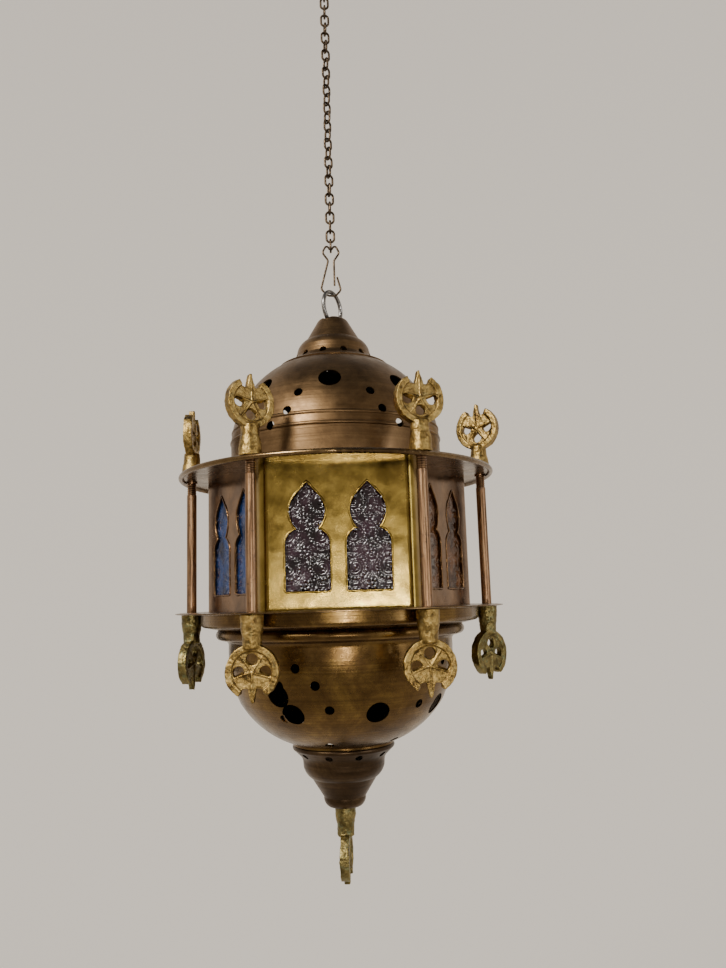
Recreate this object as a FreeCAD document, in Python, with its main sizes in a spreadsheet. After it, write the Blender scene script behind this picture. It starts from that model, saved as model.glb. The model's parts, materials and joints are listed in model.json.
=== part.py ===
import FreeCAD, Part
import math
import os

import Sketcher
from FreeCAD import Placement, Rotation, Vector

# A hexagonal candle lantern of spun and pierced brass, hung from a ceiling hook by a chain.
# Millimetres, +Z up. The origin is the centre of the ceiling hook's flange, where it meets
# the ceiling, and everything else hangs below it. -Y is the lantern's front, +X its right.
# Heights named *_height are measured up from the middle of the bottom plate.

SIZES = {
    # ceiling hook
    "hook_wire": 2.5,
    "hook_bend": 5.0,
    "hook_drop": 24.0,
    "flange_radius": 6.0,
    "flange_depth": 1.5,
    "shank_length": 12.0,
    "shank_point": 3.0,
    "shank_radius": 1.5,
    # chain: oval links of round wire
    "link_wire": 1.2,
    "link_length": 5.5,
    "link_width": 2.9,
    "play": 0.1,
    "ring_slack": 0.6,
    # wire clip and hanging ring
    "clip_wire": 1.05,
    "clip_length": 26.2,
    "ring_wire": 2.2,
    "ring_radius": 8.65,
    "ring_turn": 59.0,
    "ring_hole": 2.85,
    # sheet thicknesses
    "cap_sheet": 0.6,
    "spun_sheet": 0.7,
    "plate_sheet": 1.0,
    "drum_sheet": 0.8,
    # the two round plates
    "top_plate_height": 67.1,
    "top_plate_radius": 79.8,
    "top_plate_bead": 1.25,
    "top_plate_opening": 50.0,
    "bottom_plate_radius": 81.1,
    "bottom_plate_opening": 46.0,
    # dome and the cap on it
    "dome_radius": 53.8,
    "dome_curve": 48.7,
    "cap_top_height": 152.6,
    "cap_rim_radius": 28.5,
    # six-sided drum
    "drum_corner": 66.8,
    "drum_bend": 5.0,
    "window_spacing": 27.0,
    "window_sill_height": 8.6,
    "window_width": 19.8,
    "window_shoulder_height": 31.0,
    "window_waist": 9.6,
    "window_waist_height": 35.7,
    "window_bulb": 16.2,
    "window_apex_height": 56.6,
    # glass
    "pane_thickness": 2.5,
    "pane_width": 56.0,
    "pane_length": 56.0,
    "pane_base_height": 5.0,
    "tab_sheet": 0.5,
    "tab_width": 5.0,
    # door in the rear face
    "door_width": 54.6,
    "door_gap": 0.4,
    "door_base_height": 4.6,
    "door_length": 57.8,
    "door_pane_width": 47.2,
    "door_pane_length": 50.2,
    "door_pane_base_height": 7.9,
    "hinge_pin_radius": 0.7,
    "hinge_clearance": 0.05,
    "knuckle_radius": 1.5,
    "knuckle_length": 5.8,
    # columns and their finials
    "column_circle": 74.5,
    "column_radius": 2.45,
    "column_neck_radius": 2.1,
    "column_neck_length": 6.0,
    "stud_radius": 1.65,
    "stud_reach": 7.0,
    "stud_play": 0.08,
    "washer_radius": 2.85,
    "washer_thickness": 0.8,
    "finial_length": 36.6,
    "finial_disc": 11.4,
    "finial_thickness": 4.4,
    "finial_web": 3.0,
    "finial_socket": 5.1,
    "finial_neck": 4.1,
    # bowl and the cone under it
    "bowl_flange": 69.0,
    "bowl_radius": 55.6,
    "bowl_mouth": 25.0,
    "cone_base_height": -94.3,
    # candle holder
    "candle_cup_radius": 19.6,
    "candle_cup_depth": 12.0,
    "bridge_width": 18.0,
    "bridge_length": 106.0,
    "rivet_radius": 1.5,
    "rivet_circle": 49.5,
    # pierced holes
    "small_hole": 2.15,
    "large_hole": 5.4,
    "cap_hole": 1.8,
}

LINKS = 30
LINKS_PER_NODE = 2
CHAIN_TWIST = 40.0
FACES = 6
SECTOR = 360 / FACES
COLUMN_NAMES = ("front_right", "right", "rear_right", "rear_left", "left", "front_left")
PANE_NAMES = ("front", "front_right", "rear_right", "door", "rear_left", "front_left")
DOOR_SIDE = 3
# how far each finial's flat disc is turned from facing the front
UPPER_TURNS = (18, -35, 25, -20, 88, 36)
LOWER_TURNS = (4, 40, -30, 15, 75, -5)

document = FreeCAD.newDocument("lantern")
dims = document.addObject("Spreadsheet::Sheet", "dims")
for row, (alias, number) in enumerate(SIZES.items(), 1):
    dims.set(f"A{row}", alias)
    dims.set(f"B{row}", str(number))
    dims.setAlias(f"B{row}", alias)
document.recompute()

sub_parts = []


class Size:
    """A number together with the sheet expression that gives it."""

    def __init__(self, value, text):
        self.value = float(value)
        self.text = text

    def __add__(self, other):
        other = as_size(other)
        return Size(self.value + other.value, f"({self.text} + {other.text})")

    def __sub__(self, other):
        other = as_size(other)
        return Size(self.value - other.value, f"({self.text} - {other.text})")

    def __mul__(self, factor):
        return Size(self.value * factor, f"({self.text} * {factor:.9g})")

    def __rsub__(self, other):
        return as_size(other) - self

    def __neg__(self):
        return self * -1

    __radd__ = __add__
    __rmul__ = __mul__


def as_size(number):
    return number if isinstance(number, Size) else Size(number, f"({number:.9g})")


D = {alias: Size(number, f"dims.{alias}") for alias, number in SIZES.items()}


# ---------------------------------------------------------------- levels, from the ceiling down

hook_level = -D["hook_drop"]
link_half = (D["link_length"] + D["link_wire"]) * 0.5
link_pitch = D["link_length"] - D["play"]
first_link = hook_level + (D["hook_wire"] + D["link_wire"]) * 0.5 + D["play"] - link_half
last_link = first_link - link_pitch * (LINKS - 1)
clip_level = last_link - link_half + (D["link_wire"] + D["clip_wire"]) * 0.5 + D["play"]
ring_top = clip_level - D["clip_length"] + (D["clip_wire"] + D["ring_wire"]) * 0.5 + D["play"]
ring_level = ring_top - D["ring_radius"]
cap_top = ring_level - D["ring_radius"] + D["ring_wire"] * 0.5 + D["ring_slack"] + D["cap_sheet"]
plate_level = cap_top - D["cap_top_height"]

# ---------------------------------------------------------------- building blocks


def register(thing, label):
    """Count a document object as a sub-part under its own label."""
    thing.Label = label
    sub_parts.append(thing)
    return thing


def place(thing, x=0, y=0, z=0, turn=0):
    """Turn a sub-part about Z and put its own origin at x, y, z."""
    thing.Placement = Placement(
        Vector(as_size(x).value, as_size(y).value, as_size(z).value),
        Rotation(Vector(0, 0, 1), turn),
    )
    for axis, length in (("x", x), ("y", y), ("z", z)):
        if isinstance(length, Size):
            thing.setExpression(f"Placement.Base.{axis}", length.text)


def new_body(label):
    return register(document.addObject("PartDesign::Body", label), label)


def origin_feature(body, role):
    return next(f for f in body.Origin.OriginFeatures if f.Role == role)


def new_sketch(body, plane="XZ_Plane", lift=0, turn=0):
    """A sketch on one of the body's own planes, moved along or turned about its normal.

    On XZ_Plane the sketch's axes are X and Z, and a turn swings it about Z instead.
    """
    sketch = body.newObject("Sketcher::SketchObject", body.Name + "_sketch")
    sketch.AttachmentSupport = [(origin_feature(body, plane), "")]
    sketch.MapMode = "FlatFace"
    hinge = Vector(0, 1, 0) if plane == "XZ_Plane" else Vector(0, 0, 1)
    sketch.AttachmentOffset = Placement(Vector(0, 0, as_size(lift).value), Rotation(hinge, turn))
    if isinstance(lift, Size):
        sketch.setExpression("AttachmentOffset.Base.z", lift.text)
    return sketch


def hold(sketch, element, point, x, y):
    """Hold one end of an element at x, y."""
    for kind, axis, length in (("DistanceX", -2, as_size(x)), ("DistanceY", -1, as_size(y))):
        if abs(length.value) < 1e-9:
            sketch.addConstraint(Sketcher.Constraint("PointOnObject", element, point, axis))
            continue
        index = sketch.addConstraint(Sketcher.Constraint(kind, element, point, length.value))
        sketch.setExpression(f"Constraints[{index}]", length.text)


def trace(sketch, points, closed=True):
    """Draw lines and arcs through points of (x, y) or (x, y, bend).

    bend is the radius of the arc that arrives at the point, positive where it turns left.
    """
    points = [(p[0], p[1], p[2] if len(p) > 2 else 0) for p in points]
    first = sketch.GeometryCount
    spans = list(zip(points, points[1:] + points[:1]))
    if not closed:
        spans = spans[:-1]
    ends = []
    for (x0, y0, _), (x1, y1, bend) in spans:
        start = Vector(as_size(x0).value, as_size(y0).value, 0)
        end = Vector(as_size(x1).value, as_size(y1).value, 0)
        radius = as_size(bend).value
        if not radius:
            sketch.addGeometry(Part.LineSegment(start, end), False)
            ends.append((1, 2))
            continue
        chord = end - start
        height = math.sqrt(radius**2 - (chord.Length / 2) ** 2)
        left = Vector(-chord.y, chord.x, 0).normalize()
        centre = (start + end) * 0.5 + left * math.copysign(height, radius)
        low, high = (start, end) if radius > 0 else (end, start)
        angles = [math.atan2(p.y - centre.y, p.x - centre.x) for p in (low, high)]
        circle = Part.Circle(centre, Vector(0, 0, 1), abs(radius))
        index = sketch.addGeometry(Part.ArcOfCircle(circle, *angles), False)
        ends.append((1, 2) if radius > 0 else (2, 1))
        size = as_size(bend) * math.copysign(1, radius)
        limit = sketch.addConstraint(Sketcher.Constraint("Radius", index, size.value))
        sketch.setExpression(f"Constraints[{limit}]", size.text)
    for step, (_, finish) in enumerate(ends):
        after = (step + 1) % len(ends)
        if closed or after:
            join = (first + step, finish, first + after, ends[after][0])
            sketch.addConstraint(Sketcher.Constraint("Coincident", *join))
        x, y, _ = spans[step][0]
        hold(sketch, first + step, ends[step][0], x, y)
    if not closed:
        x, y, _ = spans[-1][1]
        hold(sketch, first + len(ends) - 1, ends[-1][1], x, y)


def draw_circle(sketch, x, y, radius):
    centre = Vector(as_size(x).value, as_size(y).value, 0)
    radius = as_size(radius)
    circle = Part.Circle(centre, Vector(0, 0, 1), radius.value)
    index = sketch.addGeometry(circle, False)
    limit = sketch.addConstraint(Sketcher.Constraint("Radius", index, radius.value))
    sketch.setExpression(f"Constraints[{limit}]", radius.text)
    hold(sketch, index, 3, x, y)


def feature(body, kind, sketch, **settings):
    """Add a feature made from a sketch; a Size in the settings is bound to the sheet."""
    added = body.newObject(f"PartDesign::{kind}", f"{body.Name}_{kind}")
    added.Profile = sketch
    for name, setting in settings.items():
        if isinstance(setting, Size):
            setattr(added, name, setting.value)
            added.setExpression(name, setting.text)
        else:
            setattr(added, name, setting)
    return added


def revolve(body, points):
    """Turn a closed outline of (radius, height) about the body's Z axis."""
    sketch = new_sketch(body)
    trace(sketch, points)
    return feature(body, "Revolution", sketch, ReferenceAxis=(sketch, ["V_Axis"]), Angle=360)


def pad(body, points, height, lift=0, plane="XY_Plane", **settings):
    sketch = new_sketch(body, plane, lift)
    trace(sketch, points)
    return feature(body, "Pad", sketch, Length=height, **settings)


def pad_round(body, x, y, radius, height, lift=0, plane="XY_Plane", **settings):
    sketch = new_sketch(body, plane, lift)
    draw_circle(sketch, x, y, radius)
    return feature(body, "Pad", sketch, Length=height, **settings)


def bore(body, x, y, radius, depth, lift=0, plane="XY_Plane", **settings):
    """Cut a round hole downwards (or, with Reversed, upwards) from a lifted plane."""
    sketch = new_sketch(body, plane, lift)
    draw_circle(sketch, x, y, radius)
    return feature(body, "Pocket", sketch, Length=depth, **settings)


def around(body, features, count):
    """Repeat features evenly about the body's Z axis."""
    pattern = body.newObject("PartDesign::PolarPattern", body.Name + "_around")
    pattern.Originals = features
    pattern.Axis = (origin_feature(body, "Z_Axis"), [""])
    pattern.Angle = 360
    pattern.Occurrences = count
    body.Tip = pattern
    return pattern


def rectangle(x0, x1, y0, y1):
    return [(x0, y0), (x1, y0), (x1, y1), (x0, y1)]


def span_angles(start, end):
    """The headings at both ends of a line or arc, in radians."""
    dx = as_size(end[0]).value - as_size(start[0]).value
    dy = as_size(end[1]).value - as_size(start[1]).value
    heading = math.atan2(dy, dx)
    radius = as_size(end[2]).value if len(end) > 2 else 0
    turn = math.asin(math.hypot(dx, dy) / 2 / radius) if radius else 0
    return heading - turn, heading + turn


def wall(points, sheet, side):
    """The closed outline of a bent sheet whose outer face runs through points.

    The sheet lies to the left of the direction of travel where side is 1, to the right at -1.
    """
    spans = [span_angles(a, b) for a, b in zip(points, points[1:])]
    inner = []
    for index, point in enumerate(points):
        before = spans[index - 1][1] if index else spans[0][0]
        after = spans[index][0] if index < len(spans) else spans[-1][1]
        share = 1 + math.cos(after - before)
        across = -side * (math.sin(before) + math.sin(after)) / share
        along = side * (math.cos(before) + math.cos(after)) / share
        inner.append((point[0] + sheet * across, point[1] + sheet * along))
    back = [inner[-1]]
    for index in range(len(points) - 1, 0, -1):
        bend = points[index][2] if len(points[index]) > 2 else 0
        if as_size(bend).value:
            grow = -side * math.copysign(1, as_size(bend).value)
            size = as_size(bend) * math.copysign(1, as_size(bend).value) + sheet * grow
            chord = [as_size(a).value - as_size(b).value for a, b in zip(inner[index], inner[index - 1])]
            # a bead too tight for the sheet is flat behind
            tight = size.value < math.hypot(*chord) * 0.55
            bend = 0 if tight else size * -math.copysign(1, as_size(bend).value)
        back.append((*inner[index - 1], bend))
    return list(points) + back


def rounded(points, radius):
    """An open run of straight lines through points with its corners rounded, for trace().

    A point's third number, where it has one, is its own corner radius.
    """
    run = [(points[0][0], points[0][1], 0)]
    for before, corner, after in zip(points, points[1:], points[2:]):
        here = Vector(corner[0], corner[1], 0)
        into = here - Vector(before[0], before[1], 0)
        out = Vector(after[0], after[1], 0) - here
        turn = math.atan2(into.cross(out).z, into.dot(out))
        bend = corner[2] if len(corner) > 2 else radius
        cut = min(bend * abs(math.tan(turn / 2)), into.Length * 0.49, out.Length * 0.49)
        enter = here - into.normalize() * cut
        leave = here + out.normalize() * cut
        run += [(enter.x, enter.y, 0), (leave.x, leave.y, cut / math.tan(turn / 2))]
    return run + [(points[-1][0], points[-1][1], 0)]


def bent_wire(body, points, unit, wire, plane="XZ_Plane"):
    """Sweep a round wire along a run given in fractions of unit, which starts along Z."""
    path = new_sketch(body, plane)
    trace(path, [(unit * x, unit * y, unit * bend if bend else 0) for x, y, bend in points], False)
    section = new_sketch(body, "XY_Plane", unit * points[0][1])
    x, y = (unit * points[0][0], 0)
    draw_circle(section, *((x, y) if plane == "XZ_Plane" else (y, x)), wire * 0.5)
    return feature(body, "AdditivePipe", section, Spine=(path, []))


# ---------------------------------------------------------------- ceiling hook and chain


def ceiling_hook():
    """A screw hook: plain shank above the flange, open bend below it."""
    body = new_body("ceiling_hook")
    shank, flange, wire = D["shank_radius"], D["flange_radius"], D["hook_wire"] * 0.5
    under = -D["flange_depth"]
    revolve(
        body,
        [
            (0, under - 1.2),
            (wire, under - 1.2),
            (flange - 2.0, under - 0.2),
            (flange, under * 0.5, 2.2),
            (flange, 0),
            (shank, 0),
            (shank, D["shank_length"]),
            (0, D["shank_length"] + D["shank_point"]),
        ],
    )
    bend = SIZES["hook_bend"] / SIZES["hook_drop"]
    route = [(0, -0.08), (0, -0.36), (-bend, -0.58), (-bend, -1), (bend, -1), (bend, -0.62)]
    bent_wire(body, rounded(route, bend), D["hook_drop"], D["hook_wire"], "YZ_Plane")


def link_turn(number):
    """A link's angle about the chain: quarter turns, with a slow twist in the middle."""
    along = (number - 1) / (LINKS - 1)
    return 90 * (LINKS - number + 1) + CHAIN_TWIST * math.sin(math.pi * along) ** 2


def add_link(body, turn, lift):
    """An oval link in a vertical plane, centred at a height in its body."""
    reach = (D["link_width"] + D["link_wire"]) * 0.5
    straight = (D["link_length"] - D["link_width"]) * 0.5
    path = new_sketch(body, "XZ_Plane", turn=turn)
    route = [
        (reach, lift),
        (reach, lift + straight),
        (0, lift + straight + reach, reach),
        (-reach, lift + straight, reach),
        (-reach, lift - straight),
        (0, lift - straight - reach, reach),
        (reach, lift - straight, reach),
    ]
    trace(path, route)
    section = new_sketch(body, "XY_Plane", lift, turn)
    draw_circle(section, reach, 0, D["link_wire"] * 0.5)
    feature(body, "AdditivePipe", section, Spine=(path, []))


def chain():
    """Pairs of neighbouring links, numbered down from the hook."""
    for pair in range(LINKS // LINKS_PER_NODE):
        body = new_body(f"chain_{pair + 1:02d}")
        body.AllowCompound = True
        upper = pair * LINKS_PER_NODE + 1
        add_link(body, link_turn(upper), as_size(0))
        add_link(body, link_turn(upper + 1), -link_pitch)
        place(body, z=first_link - link_pitch * (upper - 1))


def wire_clip():
    """One bent wire: a dipped loop for the last link, a waist, and a hook for the ring."""
    body = new_body("wire_clip")
    route = [
        (0.061, -0.783),
        (0.061, -0.245),
        (0.176, -0.072),
        (0.078, 0.122, 0.042),
        (0.0, -0.0603, 0.042),
        (-0.078, 0.122, 0.042),
        (-0.176, -0.062),
        (-0.056, -0.235),
        (-0.215, -0.850),
        (-0.085, -0.995),
        (0.075, -1.005),
        (0.190, -0.880),
        (0.118, -0.600),
    ]
    bent_wire(body, rounded(route, 0.09), D["clip_length"], D["clip_wire"])
    place(body, z=clip_level)


def hanging_ring():
    ring = register(document.addObject("Part::Torus", "hanging_ring"), "hanging_ring")
    ring.setExpression("Radius1", D["ring_radius"].text)
    ring.setExpression("Radius2", (D["ring_wire"] * 0.5).text)
    stand = Rotation(Vector(0, 0, 1), SIZES["ring_turn"]) * Rotation(Vector(1, 0, 0), 90)
    ring.Placement = Placement(Vector(0, 0, ring_level.value), stand)
    ring.setExpression("Placement.Base.z", ring_level.text)


# ---------------------------------------------------------------- spun shells


def pierce(body, azimuth, radius, height, tilt, hole):
    """A round hole through a shell, square to it, at an angle round from the front."""
    cutter = body.newObject("PartDesign::SubtractiveCylinder", body.Name + "_hole")
    cutter.AttachmentSupport = [(origin_feature(body, "XY_Plane"), "")]
    cutter.MapMode = "FlatFace"
    cutter.Height = 6.0
    cutter.Radius = hole.value
    cutter.setExpression("Radius", hole.text)
    round_z = math.radians(azimuth)
    up = math.radians(tilt)
    normal = Vector(math.sin(round_z) * math.cos(up), -math.cos(round_z) * math.cos(up), math.sin(up))
    spot = Vector(radius * math.sin(round_z), -radius * math.cos(round_z), height)
    cutter.AttachmentOffset = Placement(spot - normal * 3.0, Rotation(Vector(0, 0, 1), normal))
    return cutter


def dome_point(height, centre_height=82.0):
    """Radius and slope of the dome's curved wall at a height."""
    curve = SIZES["dome_curve"]
    centre = SIZES["dome_radius"] - curve
    rise = height - centre_height
    radius = centre + math.sqrt(curve**2 - rise**2)
    return radius, math.degrees(math.asin(rise / curve))


def dome():
    """Flange, short upright wall with two beads, then one round curve to the open top."""
    body = new_body("dome")
    wide = D["dome_radius"]
    foot = D["top_plate_height"] + D["plate_sheet"] * 0.5 + D["spun_sheet"]
    low, high = dome_point(89.0)[0], dome_point(90.8)[0]
    top = dome_point(129.2)[0]
    outline = [
        (wide + 4.2, foot),
        (wide, foot),
        (wide, 83.7),
        (wide, 85.5, 1.1),
        (wide - (SIZES["dome_radius"] - low), 89.0, D["dome_curve"]),
        (wide - (SIZES["dome_radius"] - high), 90.8, 1.15),
        (wide - (SIZES["dome_radius"] - top), 129.2, D["dome_curve"]),
    ]
    revolve(body, wall(outline, D["spun_sheet"], 1))
    arm = ((18, 116.0), (15.5, 110.0), (19.5, 100.5), (24.7, 91.8), (34.0, 85.5))
    holes = []
    for side in (-1, 1):
        for azimuth, height in arm:
            radius, tilt = dome_point(height)
            holes.append(pierce(body, side * azimuth, radius, height, tilt, D["small_hole"]))
    radius, tilt = dome_point(107.6)
    for azimuth in (-2.5, 42.5):
        holes.append(pierce(body, azimuth, radius, 107.6, tilt, D["large_hole"]))
    around(body, holes, 4)
    place(body, z=plate_level)


def neck_cap():
    """The crown on the dome, with two holes in its top for the hanging ring."""
    body = new_body("neck_cap")
    rim, top = D["cap_rim_radius"], D["cap_top_height"]
    skirt = D["dome_curve"] + D["cap_sheet"] + 0.02
    outline = [
        (rim, top - 27.18),
        (rim - 5.9, top - 24.49, skirt),
        (rim - 8.6, top - 21.9, -5.0),
        (rim - 9.0, top - 20.4),
        (rim - 9.8, top - 17.4),
        (rim - 14.2, top - 12.6, 9.0),
        (rim - 19.9, top - 2.7),
        (rim - 23.9, top, 4.6),
        (0, top),
    ]
    revolve(body, wall(outline, D["cap_sheet"], 1))
    bottom_wire = D["ring_wire"] * 0.5 + D["ring_slack"] + D["cap_sheet"] * 0.5
    depth = SIZES["ring_radius"] - bottom_wire.value
    apart = math.sqrt(SIZES["ring_radius"] ** 2 - depth**2)
    way = math.radians(SIZES["ring_turn"])
    for side in (-1, 1):
        x, y = side * apart * math.cos(way), side * apart * math.sin(way)
        bore(body, x, y, D["ring_hole"], 6.0, top + 1.0)
    around(body, [pierce(body, 15, 20.4, 130.1, 38, D["cap_hole"])], 12)
    place(body, z=plate_level)


def lower_bowl():
    """Stepped flange under the bottom plate, one bead, then the pierced bowl."""
    body = new_body("lower_bowl")
    flange, wide = D["bowl_flange"], D["bowl_radius"]
    lip = D["plate_sheet"] * -0.5
    outline = [
        (flange, lip),
        (flange, -5.0),
        (flange - 1.9, -6.9, -2.0),
        (flange - 8.6, -8.4),
        (flange - 8.7, -13.0, -2.6),
        (wide + 1.0, -13.9),
        (wide, -16.0, 2.4),
        (wide - 5.6, -43.7, -59.6),
        (D["bowl_mouth"], -63.7, -47.3),
        (D["bowl_mouth"], -64.6),
    ]
    revolve(body, wall(outline, D["spun_sheet"], -1))
    arm = ((30, 31.4, -60.2, -66), (24, 44.5, -51.5, -44), (25, 50.2, -43.0, -24))
    arm += ((31, 54.0, -32.1, -9), (40, 55.2, -24.6, -4))
    centre = 18.5
    holes = []
    for side in (-1, 1):
        for azimuth, radius, height, tilt in arm:
            spot = centre + side * azimuth
            holes.append(pierce(body, spot, radius, height, tilt, D["small_hole"]))
    for azimuth in (centre, centre + 45):
        holes.append(pierce(body, azimuth, 49.2, -45.4, -33, D["large_hole"]))
    around(body, holes, 4)
    place(body, z=plate_level)


def lower_cone():
    """The cone that closes the bowl, pierced all round and drilled for the lowest finial."""
    body = new_body("lower_cone")
    rim, base = D["bowl_mouth"] - D["spun_sheet"] - 0.02, D["cone_base_height"]
    outline = [
        (rim, base + 32.5),
        (rim, base + 29.7),
        (rim, base + 27.1, -1.45),
        (rim - 2.6, base + 24.6),
        (rim - 4.2, base + 21.6, 4.5),
        (rim - 4.4, base + 19.0),
        (rim - 8.4, base + 13.4, -9.0),
        (rim - 14.0, base + 4.6),
        (rim - 16.2, base, -5.0),
        (D["stud_radius"] + 0.3, base),
    ]
    revolve(body, wall(outline, D["cap_sheet"], -1))
    around(body, [pierce(body, 18, 22.6, -68.7, -45, D["cap_hole"])], 10)
    place(body, z=plate_level)


# ---------------------------------------------------------------- plates


def drill_for_columns(body, height):
    """Six clearance holes for the columns' studs."""
    angle = math.radians(SECTOR / 2)
    sketch = new_sketch(body, "XY_Plane", height)
    circle = D["column_circle"]
    draw_circle(sketch, circle * math.sin(angle), circle * -math.cos(angle), D["stud_radius"] + 0.35)
    hole = feature(body, "Pocket", sketch, Length=4.0)
    around(body, [hole], FACES)


def top_plate():
    """A flat ring whose edge is rolled downwards."""
    body = new_body("top_plate")
    half, bead = D["plate_sheet"] * 0.5, D["top_plate_bead"]
    edge = D["top_plate_radius"] - bead
    outline = [
        (D["top_plate_opening"], -half),
        (edge - bead, -half),
        (edge, half - bead * 2, bead + 0.2),
        (edge + bead, half - bead, bead),
        (edge, half, bead),
        (D["top_plate_opening"], half),
    ]
    revolve(body, outline)
    drill_for_columns(body, 2.0)
    place(body, z=plate_level + D["top_plate_height"])


def bottom_plate():
    """A flat ring with a knife-thin edge."""
    body = new_body("bottom_plate")
    half, edge = D["plate_sheet"] * 0.5, D["bottom_plate_radius"]
    outline = [
        (D["bottom_plate_opening"], -half),
        (edge - 2.4, -half),
        (edge, -half * 0.4),
        (edge, half * 0.4),
        (edge - 2.4, half),
        (D["bottom_plate_opening"], half),
    ]
    revolve(body, outline)
    drill_for_columns(body, 2.0)
    angle = math.pi / 2
    for side in (-1, 1):
        x = D["rivet_circle"] * side * math.sin(angle)
        bore(body, x, 0, D["rivet_radius"] + 0.05, 4.0, 2.0)
    place(body, z=plate_level)


# ---------------------------------------------------------------- drum and door

floor_height = D["plate_sheet"] * 0.5
roof_height = D["top_plate_height"] - D["plate_sheet"] * 0.5
half_sector = math.radians(SECTOR / 2)
drum_face = D["drum_corner"] * math.cos(half_sector)


def hexagon(face, bend):
    """A rounded hexagon whose sides lie at a distance from the centre."""
    side = face * math.tan(half_sector) - bend * math.tan(half_sector)
    points = []
    for number in range(FACES):
        angle = math.radians(SECTOR * number - 90)
        out, along = (math.cos(angle), math.sin(angle)), (-math.sin(angle), math.cos(angle))
        for end, arc in ((-1, bend), (1, 0)):
            x = face * out[0] + side * (along[0] * end)
            y = face * out[1] + side * (along[1] * end)
            points.append((x, y, arc))
    return points


def keyholes(centres):
    """The outlines of the onion-topped windows, one for each sideways position."""
    sill, apex = D["window_sill_height"], D["window_apex_height"]
    shoulder, waist = D["window_shoulder_height"], D["window_waist_height"]
    wide, narrow, bulb = D["window_width"] * 0.5, D["window_waist"] * 0.5, D["window_bulb"] * 0.5
    for centre in centres:
        yield [
            (centre - wide, sill),
            (centre + wide, sill),
            (centre + wide, shoulder - 1.0),
            (centre + narrow, waist, 7.0),
            (centre + bulb, waist + 8.2, 13.0),
            (centre + bulb * 0.62, apex - 5.6, 12.0),
            (centre, apex),
            (centre - bulb * 0.62, apex - 5.6),
            (centre - bulb, waist + 8.2, 12.0),
            (centre - narrow, waist, 13.0),
            (centre - wide, shoulder - 1.0, 7.0),
        ]


def cut_windows(body):
    """Two windows through the front wall."""
    sketch = new_sketch(body, "XZ_Plane")
    for outline in keyholes((D["window_spacing"] * -0.5, D["window_spacing"] * 0.5)):
        trace(sketch, outline)
    return feature(body, "Pocket", sketch, Length=80.0, Reversed=True)


hinge_side = D["door_width"] * -0.5 - 1.6
hinge_out = drum_face + D["knuckle_radius"] + 0.35
knuckle_bases = (14.0, 20.1, 46.0, 52.1)


def knuckle(body, base, leaf_near, leaf_far, foot):
    """One rolled eye of the hinge and the leaf that joins it to its panel.

    leaf_near and leaf_far are the leaf's sides along the face, and foot is how deep it goes.
    """
    length = D["knuckle_length"]
    pad_round(body, hinge_side, hinge_out, D["knuckle_radius"], length, base)
    inner = hinge_out - D["knuckle_radius"]
    pad(body, rectangle(leaf_near, leaf_far, inner, inner + 0.8), length, base)
    pad(body, rectangle(foot[0], foot[1], drum_face - 0.4, inner + 0.4), length, base)


def bore_hinge(body):
    radius = D["hinge_pin_radius"] + D["hinge_clearance"]
    bore(body, hinge_side, hinge_out, radius, 80.0, 0, Reversed=True)


def drum():
    """Six-sided tube with two windows a side, a doorway at the back and two hinge eyes."""
    body = new_body("drum")
    face, bend, sheet = drum_face, D["drum_bend"], D["drum_sheet"]
    sketch = new_sketch(body, "XY_Plane", floor_height)
    trace(sketch, hexagon(face, bend))
    trace(sketch, hexagon(face - sheet, bend - sheet))
    feature(body, "Pad", sketch, Length=roof_height - floor_height)
    around(body, [cut_windows(body)], FACES)
    half = D["door_width"] * 0.5 + D["door_gap"]
    low = D["door_base_height"] - D["door_gap"]
    high = low + D["door_length"] + D["door_gap"] * 2
    sketch = new_sketch(body, "XZ_Plane")
    trace(sketch, rectangle(-half, half, low, high))
    feature(body, "Pocket", sketch, Length=80.0)
    for base in knuckle_bases[::2]:
        knuckle(body, base, hinge_side - 2.4, hinge_side, (hinge_side - 2.4, -half - 0.2))
    bore_hinge(body)
    place(body, z=plate_level)


def door():
    """A flat panel in the doorway with its own two windows and hinge eyes."""
    body = new_body("door")
    half = D["door_width"] * 0.5
    sketch = new_sketch(body, "XZ_Plane", -drum_face)
    low = D["door_base_height"]
    trace(sketch, rectangle(-half, half, low, low + D["door_length"]))
    for outline in keyholes((D["window_spacing"] * -0.5, D["window_spacing"] * 0.5)):
        trace(sketch, outline)
    feature(body, "Pad", sketch, Length=D["drum_sheet"])
    for base in knuckle_bases[1::2]:
        knuckle(body, base, hinge_side, hinge_side + 4.0, (-half + 0.1, hinge_side + 4.0))
    bore_hinge(body)
    knob_level = D["door_base_height"] + D["door_length"] * 0.5
    bore(body, half - 1.8, knob_level, 1.05, 4.0, -drum_face - 2.0, "XZ_Plane", Reversed=True)
    place(body, z=plate_level)


def door_hinge_pin():
    """A plain wire with a flattened head, dropped through the four eyes."""
    body = new_body("door_hinge_pin")
    radius = D["hinge_pin_radius"]
    top = knuckle_bases[-1] + 6.4
    revolve(
        body,
        [
            (0, 12.4),
            (radius, 12.4),
            (radius, knuckle_bases[-1] + D["knuckle_length"]),
            (radius + 0.6, knuckle_bases[-1] + D["knuckle_length"]),
            (radius + 0.6, top),
            (0.4, top + 0.5, 1.9),
            (0, top + 0.5),
        ],
    )
    place(body, hinge_side, hinge_out, plate_level)


def door_knob():
    """A turned knob whose shank is riveted through the door."""
    body = new_body("door_knob")
    outline = [
        (0, -1.3),
        (1.6, -1.3),
        (1.6, -0.8),
        (1.0, -0.8),
        (1.0, 0),
        (1.7, 0),
        (1.1, 1.4, -2.2),
        (2.4, 3.4, -2.6),
        (0.8, 5.4, 2.5),
        (0, 5.4),
    ]
    revolve(body, outline)
    x = D["door_width"] * 0.5 - 1.8
    z = plate_level + D["door_base_height"] + D["door_length"] * 0.5
    place(body, x, drum_face, z)
    body.Placement = Placement(body.Placement.Base, Rotation(Vector(1, 0, 0), -90))


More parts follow.
